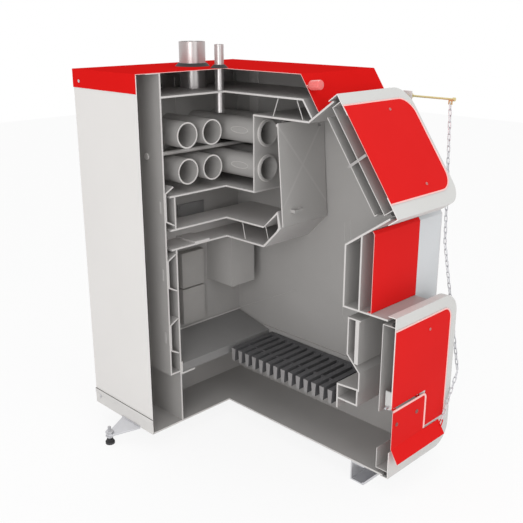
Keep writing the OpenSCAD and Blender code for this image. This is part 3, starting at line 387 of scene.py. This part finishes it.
def ring(middle, radius, steps=48):
    """Points round a circle whose axis runs along y."""
    turns = [radians(360 * step / steps) for step in range(steps)]
    return [middle + Vector((cos(turn), 0, sin(turn))) * radius for turn in turns]


weld_bright = Finish("weld_bright", Roughness=0.5)
ripple = weld_bright.cloud(240, 3)
tint = weld_bright.blend(ripple, (0.50, 0.485, 0.47, 1), (0.62, 0.60, 0.585, 1))
weld_bright.feed("Base Color", tint)
weld_bright.bump(ripple, 0.0004)
rows, seat, bead = (753, 853), 0.0368, 0.0022
beads = [wire(ring(at(x, -119.5, z), seat), bead, True) for x in (50, 140) for z in rows]
beads += [wire(ring(at(x, 196.5, z), seat), bead, True) for x in (-140, -50, 50, 140) for z in rows]
fit(joined(beads), "tube_welds", weld_bright, "casing", "boiler_plate")

# Painted highlight: pale oval wires on the tube at x 50, one on each row.
surface, half_length, middle_y, steps = 36.4, 34, -43, 32
painted_ovals = []
for height in rows:
    edge = []
    for step in range(steps):
        turn = radians(360 * step / steps)
        rolled = radians(6 + 14 * sin(turn))
        edge.append(at(50 - surface * cos(rolled), middle_y - half_length * cos(turn),
                       height + surface * sin(rolled)))
    painted_ovals.append(wire(edge, 0.0010, True))
fit(joined(painted_ovals), "tube_highlight_ovals", weld_bright, "casing", "tube_steel")

# Grate. Grey iron bars on a spine, cast in one piece and laid on the ledges,
# dark and sandy from the mould.
grate_iron = Finish("grate_iron")
sand = grate_iron.cloud(260, 6)
tint = grate_iron.blend(grate_iron.cloud(20, 4), (0.075, 0.075, 0.079, 1), (0.115, 0.113, 0.118, 1))
grate_iron.paint(tint, (0.26, 0.25, 0.25, 1))
grate_iron.feed("Roughness", 0.5 + sand * 0.3)
grate_iron.bump(sand, 0.0004)
dress(grate_iron, "grate")

# Fire bricks. Two pressed slabs that stand on each other against the rear
# wall, mid grey with fine pores.
firebrick = Finish("firebrick", Roughness=0.9)
pores = firebrick.cloud(500, 4)
tint = firebrick.blend(firebrick.cloud(18, 5), (0.36, 0.346, 0.334, 1), (0.43, 0.416, 0.402, 1))
firebrick.feed("Base Color", tint)
firebrick.bump(pores, 0.0005)


def slab(low, high, chamfer):
    """A block between two corners, with its edges taken off."""
    low, high = Vector(low), Vector(high)
    alone()
    bpy.ops.mesh.primitive_cube_add(size=1, location=(low + high) / 2)
    piece = bpy.context.object
    piece.scale = high - low
    bpy.ops.object.transform_apply(location=True, rotation=True, scale=True)
    bpy.ops.object.mode_set(mode="EDIT")
    bpy.ops.mesh.select_all(action="SELECT")
    bpy.ops.mesh.bevel(offset=chamfer, segments=2, affect="EDGES")
    bpy.ops.object.mode_set(mode="OBJECT")
    return piece


bricks = [slab(at(-72, 126, low), at(17, 150, high), 0.0022)
          for low, high in ((236, 352), (356, 470))]
fit(joined(bricks), "fire_bricks", firebrick, "casing", "firebrick", "rear_bricks")

# Rail lips. The upper edge of each base rail, folded up over the side panel
# from the section plane, or from the front, to the rear.
lips = [slab(at(left, front, 28), at(left + 2.4, 292, 43), 0.0004)
        for left, front in ((-305.6, -2), (303.2, -430))]
fit(joined(lips), "rail_lips", rail_grey, "casing", "casing_white")

# Cleaning plate and rear ledge. Both are darker plate: a bolted cover on the
# rear wall over the water shelf, and the sloping ledge behind the grate.
plate_dark = Finish("plate_dark", Specular_IOR_Level=0.4)
shade = plate_dark.cloud(9, 5)
tint = plate_dark.blend(shade, (0.20, 0.196, 0.194, 1), (0.27, 0.266, 0.264, 1))
plate_dark.feed("Base Color", tint)
plate_dark.feed("Roughness", 0.45 + shade * 0.2)
plate_dark.bump(plate_dark.cloud(420, 3), 0.00012)
dress(plate_dark, "rear_ledge")
cover = [slab(at(-66, 145, 575), at(38, 150, 619), 0.0012)]
cover += [slab(at(-62, 142, low), at(-52, 145.2, low + 10), 0.001) for low in (578, 606)]
fit(joined(cover), "cleaning_plate", plate_dark, "casing", "boiler_plate")

# Ledge weld. One bead along the rear ledge's upper edge, where it is welded to
# the rear wall.
seam = wire([at(-190, 146.5, 216.5), at(190, 146.5, 216.5)], 0.0024)
fit(seam, "ledge_weld", weld_bright, "casing", "boiler_plate")

# Pipe stubs. Turned steel, welded into the vessel and left bright, with fine
# lathe rings, a warm tone and a thin rim round each mouth.
pipe_steel = Finish("pipe_steel", Metallic=0.85)
rings = pipe_steel.cloud(60, 3, (0.1, 0.1, 30))
tint = pipe_steel.blend(rings, (0.40, 0.380, 0.375, 1), (0.52, 0.500, 0.495, 1))
pipe_steel.feed("Base Color", tint)
pipe_steel.feed("Roughness", 0.26 + rings * 0.14)
pipe_steel.bump(rings, 0.00008)
dress(pipe_steel, "flow_pipe", "sensor_pocket", "return_pipe", "fill_door_bolt")
rims = []
for radius, y, z, step in ((37.2, 137, 1092.0, 6), (12.2, 21, 1087.2, 10)):
    turns = [radians(turn) for turn in range(0, 360, step)]
    mouth = [at(radius * cos(turn), y + radius * sin(turn), z) for turn in turns]
    rims.append(wire(mouth, 0.0009, True))
fit(joined(rims), "pipe_rims", pipe_steel, "casing", "pipe_steel")

# Pipe seals. Moulded black rubber collars, pushed over the pipes and down on
# the cover.
seal_black = Finish("seal_black", Base_Color=(0.018, 0.017, 0.017, 1))
grain = seal_black.cloud(700, 3)
seal_black.feed("Roughness", 0.5 + grain * 0.2)
seal_black.bump(grain, 0.0001)
dress(seal_black, "pipe_seals")

# Zinc plated parts. Folded brackets, the doors' hinges and the chain, pale and
# slightly cloudy from the bath.
zinc = Finish("zinc", Metallic=0.9)
bath = zinc.cloud(45, 4)
zinc.feed("Base Color", zinc.blend(bath, (0.56, 0.56, 0.58, 1), (0.70, 0.70, 0.72, 1)))
zinc.feed("Roughness", 0.3 + bath * 0.2)
zinc.bump(zinc.cloud(500, 2), 0.00005)
dress(zinc, "front_foot", "left_foot_bracket", "right_foot_bracket", "door_hinges", "lower_chain",
      "upper_chain")


# Tie rod. A round stay through both side jackets, left bright, with a turned
# and chamfered head welded on at each end.
def turned(place, axis, radius, length, chamfer=0.0008, sides=32):
    """A short turned cylinder with both rims chamfered, from its middle."""
    alone()
    bpy.ops.mesh.primitive_cylinder_add(vertices=sides, radius=radius, depth=length, location=place,
                                        rotation=Vector(axis).to_track_quat("Z", "Y").to_euler())
    piece = bpy.context.object
    bpy.ops.object.transform_apply(location=True, rotation=True, scale=True)
    bevel = piece.modifiers.new("chamfer", "BEVEL")
    bevel.width, bevel.segments = chamfer, 2
    bevel.limit_method, bevel.angle_limit = "ANGLE", radians(50)
    bpy.ops.object.modifier_apply(modifier="chamfer")
    return piece


rod = turned(at(0, 65, 799), (1, 0, 0), 0.006, 0.460)
fit(rod, "stay_rod", weld_bright, "casing", "tube_steel", "tie_rod")
heads = [turned(at(end, 65, 799), (1, 0, 0), 0.009, 0.004) for end in (-232, 232)]
fit(joined(heads), "stay_heads", weld_bright, "casing", "tube_steel", "tie_rod")

# Plug highlights and wall seams. Marks a shade paler than the plate: three pads on the
# left shell over the channels, which are painted highlights, and lines on the right wall.
weld_and_highlight_grey = Finish("weld_and_highlight_grey", Roughness=0.5)
shade = weld_and_highlight_grey.cloud(60, 3)
tint = weld_and_highlight_grey.blend(shade, (0.42, 0.408, 0.398, 1), (0.50, 0.488, 0.477, 1))
weld_and_highlight_grey.feed("Base Color", tint)
plug_highlights = [slab(at(-231.2, 13, height - 17), at(-229.6, 20, height + 17), 0.0006)
         for height in (276, 468, 663)]
fit(joined(plug_highlights), "plug_highlight_pads", weld_and_highlight_grey, "casing", "boiler_plate")
wall = 188.9
# Painted highlight: the first, long diagonal line on the right wall; the other three lines are
# seams.
seams_and_highlight = [wire([at(wall, rear, low), at(wall, front, high)], 0.0011) for rear, low, front, high in (
    (140, 222, -104, 345), (-294, 600, -296, 546), (-314, 612, -317, 556), (-297, 343, -299, 291))]
fit(joined(seams_and_highlight), "wall_seams_and_highlight", weld_and_highlight_grey, "casing", "boiler_plate")

# Gussets. Two flat bars and six thin round ones in the section, which brace the
# top plate and the chamber's plates and are tacked at both ends.
stays = [slab(at(222, 90, 866), at(225.2, 129, 958), 0.0005),
         slab(at(222, 91, 964), at(225.2, 129, 1003), 0.0005)]
stays += [wire([at(*low), at(*high)], radius) for low, high, radius in (
    ((-27, 188.6, 866), (-27, 188.6, 958), 0.0014), ((-27, 188.6, 964), (-27, 188.6, 990), 0.0014),
    ((3, -205.5, 957), (3, -187, 909), 0.0012), ((3, -272.5, 957), (3, -294, 909), 0.0012),
    ((2, -66, 594), (2, -78, 545), 0.0010), ((2, -160, 600), (2, -172, 560), 0.0010))]
fit(joined(stays), "gussets", weld_bright, "casing", "boiler_plate")


# Screws and rivets. Pan heads with a sunk socket: two on the fill door's panel
# and one on the ash door's, dulled by the coat, two dark ones on the air flap,
# and zinc plated ones in the cover's skirt and the left base rail.
def screw(place, outward, radius, rise):
    """A pan head: a turned disc, its rim rounded and a socket sunk in it."""
    outward = Vector(outward).normalized()
    piece = turned(place + outward * rise / 2, outward, radius, rise, rise * 0.45, 24)
    for face in piece.data.polygons:
        face.select = face.normal.dot(outward) > 0.999 and face.area > radius * radius
    bpy.ops.object.mode_set(mode="EDIT")
    bpy.ops.mesh.inset(thickness=radius * 0.36)
    bpy.ops.mesh.extrude_region_move(TRANSFORM_OT_translate={"value": outward * rise * -0.6})
    bpy.ops.object.mode_set(mode="OBJECT")
    return piece


screw_dull = Finish("screw_dull", Metallic=0.3, Roughness=0.4)
shade = screw_dull.cloud(200, 3)
screw_dull.feed("Base Color", screw_dull.blend(shade, (0.42, 0.13, 0.12, 1), (0.62, 0.28, 0.26, 1)))
lean = radians(35.3)
upper_edge = Matrix.Translation(at(0, -407.5, 983.7))
door_place = {"fill_door": upper_edge @ Matrix.Rotation(-lean, 4, "X"),
              "ash_door": Matrix.Translation(at(0, -618, 452))}


def on_door(door, x, y, z):
    """A place on a door, in millimetres from the middle of its upper front edge."""
    return door_place[door] @ (Vector((x, y, z)) / 1000)


ahead = Vector((0, -cos(lean), sin(lean)))
pair = [screw(on_door("fill_door", 170, -1.6, z), ahead, 0.004, 0.0019) for z in (-61, -277)]
fit(joined(pair), "fill_screws", screw_dull, "fill_door", "zinc", "door_screws")
upper = screw(on_door("ash_door", 154, -1.5, -73), (0, -1, 0), 0.004, 0.0019)
fit(upper, "ash_screw", screw_dull, "ash_door", "zinc")
skirt = screw(at(-304.5, 260.6, 992.5), (-1, 0, 0), 0.0045, 0.002)
fit(skirt, "skirt_screw", zinc, "casing", "zinc")
rail = screw(at(-304.6, 265, 22), (-1, 0, 0), 0.0045, 0.002)
fit(rail, "rail_screw", zinc, "casing", "zinc")
screw_dark = Finish("screw_dark", Metallic=0.3, Roughness=0.45)
shade = screw_dark.cloud(200, 3)
tint = screw_dark.blend(shade, (0.20, 0.06, 0.055, 1), (0.34, 0.14, 0.13, 1))
screw_dark.feed("Base Color", tint)
rivets = [screw(at(110, -623.6, 154.5), (0, -1, 0), 0.0060, 0.0018),
          screw(at(19, -623.6, 152), (0, -1, 0), 0.0055, 0.0018)]
fit(joined(rivets), "flap_rivets", screw_dark, "air_flap", "zinc")

# Panel edge highlights. A pale pink line round each red panel and a broader one
# round the air flap are painted highlights on their folded edges.
edge_highlight_pink = Finish("edge_highlight_pink", Roughness=0.45, Specular_IOR_Level=0.2)
shade = edge_highlight_pink.cloud(40, 3)
edge_highlight_pink.feed("Base Color", edge_highlight_pink.blend(shade, (0.86, 0.50, 0.48, 1), (0.92, 0.62, 0.59, 1)))
edge_highlight_pink.bump(edge_highlight_pink.cloud(850, 2), 0.00005)


def outline(door, out, half, top, foot, corner):
    """Points round the right half of a pane on a door, with round corners."""
    turns = [radians(turn) for turn in range(0, 91, 10)]
    side = half - corner
    run = [(0, top)]
    run += [(side + corner * sin(turn), top - corner + corner * cos(turn)) for turn in turns]
    run += [(side + corner * cos(turn), foot + corner - corner * sin(turn)) for turn in turns]
    return [on_door(door, x, out, z) for x, z in run + [(0, foot)]]


def band(door, out, half, top, foot, corner, last, steps):
    """A flat band of wires inside an outline, ending at the height last."""
    wires = []
    for inward in steps:
        edge = outline(door, out, half - inward, top - inward, foot + inward, corner - inward)
        if last:
            edge = edge[:11] + [on_door(door, half - inward, out, last)]
        wires.append(wire(edge, 0.0012))
    return joined(wires)


# Painted highlight: pale pink bands round the fill door, ash door and air flap panels.
for body, door, name, numbers, steps in (
        ("fill_door", "fill_door", "fill_edge_highlight", (-1.4, 275.6, -32.4, -305.6, 51, None), (0, 2)),
        ("ash_door", "ash_door", "ash_edge_highlight", (-1.4, 255, -34.4, -430, 33, -360), (0, 2)),
        ("air_flap", "ash_door", "flap_edge_highlight", (-6.4, 151, -255, -420, 15, -363), (0, 2, 4))):
    fit(band(door, *numbers, steps), name, edge_highlight_pink, body, "panel_red")

# Flap pin. A zinc plated pin through the brackets' holes, on which the air
# flap swings.
fit(turned(at(66.5, -599.5, 196), (1, 0, 0), 0.0034, 0.1334), "flap_pin", zinc, "air_flap", "zinc")

# Door seals. Braided glass rope, nearly black, pressed between each door's
# frame and its pan, and cut off at the section.
rope_black = Finish("rope_black", Roughness=0.95)
braid = rope_black.cloud(900, 2)
tint = rope_black.blend(braid, (0.020, 0.019, 0.018, 1), (0.050, 0.048, 0.046, 1))
rope_black.feed("Base Color", tint)
rope_black.bump(braid, 0.0006)
for door, name, numbers in (("fill_door", "fill_seal", (7.2, 186, -14, -325, 9)),
                            ("ash_door", "ash_seal", (7.2, 192, -19, -446, 9))):
    fit(wire(outline(door, *numbers), 0.005), name, rope_black, door, "trim_grey")

# Levelling feet. Black moulded pads on zinc plated studs, each held in its
# bracket by a nut above and one below.
foot_black = Finish("foot_black", Base_Color=(0.03, 0.03, 0.032, 1))
grain = foot_black.cloud(400, 3)
foot_black.feed("Roughness", 0.45 + grain * 0.2)
foot_black.bump(grain, 0.0001)


def foot(side):
    """A pad with a stepped rim, drawn in towards the stud."""
    pad = turned(at(365 * side, 135, -60), (0, 0, 1), 0.014, 0.008, 0.001)
    for face in pad.data.polygons:
        face.select = face.normal.z > 0.99 and face.area > 0.0003
    bpy.ops.object.mode_set(mode="EDIT")
    for inward, rise in ((0.0012, 0.0025), (0.0018, 0.004), (0.003, 0.0015)):
        bpy.ops.mesh.inset(thickness=inward)
        bpy.ops.mesh.extrude_region_move(TRANSFORM_OT_translate={"value": (0, 0, rise)})
    bpy.ops.object.mode_set(mode="OBJECT")
    return pad


stud_zinc = Finish("stud_zinc", Metallic=0.9, Base_Color=(0.60, 0.60, 0.62, 1))
thread_angle = 4200  # radians to a metre, which makes a pitch of 1.5 mm
height = stud_zinc.axes(stud_zinc.place())[2]
thread = height.maths("SINE", height * thread_angle)
stud_zinc.feed("Roughness", 0.32 + stud_zinc.cloud(60, 3) * 0.2)
stud_zinc.bump(thread, 0.0004)
for side, name in ((-1, "left"), (1, "right")):
    body, solid = name + "_foot", name + "_levelling_foot"
    fit(foot(side), name + "_pad", foot_black, body, "foot_black", solid)
    stud = [turned(at(365 * side, 135, -30), (0, 0, 1), 0.005, 0.044, 0.0008, 24),
            turned(at(365 * side, 135, -26), (0, 0, 1), 0.0125, 0.008, 0.0010, 6),
            turned(at(365 * side, 135, -38), (0, 0, 1), 0.0125, 0.007, 0.0010, 6)]
    fit(joined(stud), name + "_stud", stud_zinc, body, "foot_black", solid)

# Regulator rod. A drawn brass rod, dull and pale yellow, which lifts the
# chain.
lever_brass = Finish("lever_brass", Metallic=0.6)
drawn = lever_brass.cloud(80, 3, (1, 0.05, 1))
tint = lever_brass.blend(drawn, (0.60, 0.50, 0.22, 1), (0.74, 0.64, 0.34, 1))
lever_brass.feed("Base Color", tint)
lever_brass.feed("Roughness", 0.3 + drawn * 0.2)
lever_brass.bump(drawn, 0.00005)
dress(lever_brass, "regulator_lever")

# Regulator knob. A moulded red cap on a neck in the cover's slope, with shallow
# grips round it and a rounded end; its upward faces carry a painted highlight in pale pink.
nearly_up = 0.75
knob_red = Finish("knob_red", Roughness=0.28, Specular_IOR_Level=0.5)
up = knob_red.axes(knob_red.facing())[2]
lit = knob_red.blend(knob_red.cloud(30, 3), (0.86, 0.34, 0.32, 1), (0.90, 0.46, 0.44, 1))
# Painted highlight: pale pink on the faces that point up.
tint = knob_red.blend(up > nearly_up, (0.80, 0.16, 0.15, 1), lit)
knob_red.feed("Base Color", tint)
knob_red.bump(knob_red.cloud(700, 2), 0.00008)
tilt = radians(5)
along = Vector((0, -cos(tilt), sin(tilt)))
base = at(8, -306.22, 996.755)
cap = turned(base + along * 0.02562, along, 0.0125, 0.0326, 0.0022, 36)
flats = [face.index for face in cap.data.polygons
         if abs(face.normal.dot(along)) < 0.1 and face.area > 0.00003]
for face in cap.data.polygons:
    face.select = face.index in flats[::3]
bpy.ops.object.mode_set(mode="EDIT")
bpy.ops.mesh.inset(thickness=0.0004, use_individual=True)
bpy.ops.transform.shrink_fatten(value=-0.0008)
bpy.ops.object.mode_set(mode="OBJECT")
neck = turned(base + along * 0.00725, along, 0.0069, 0.0042, 0.0004, 24)
fit(joined([cap, neck]), "knob", knob_red, "regulator_knob", "panel_red", "regulator_knob")
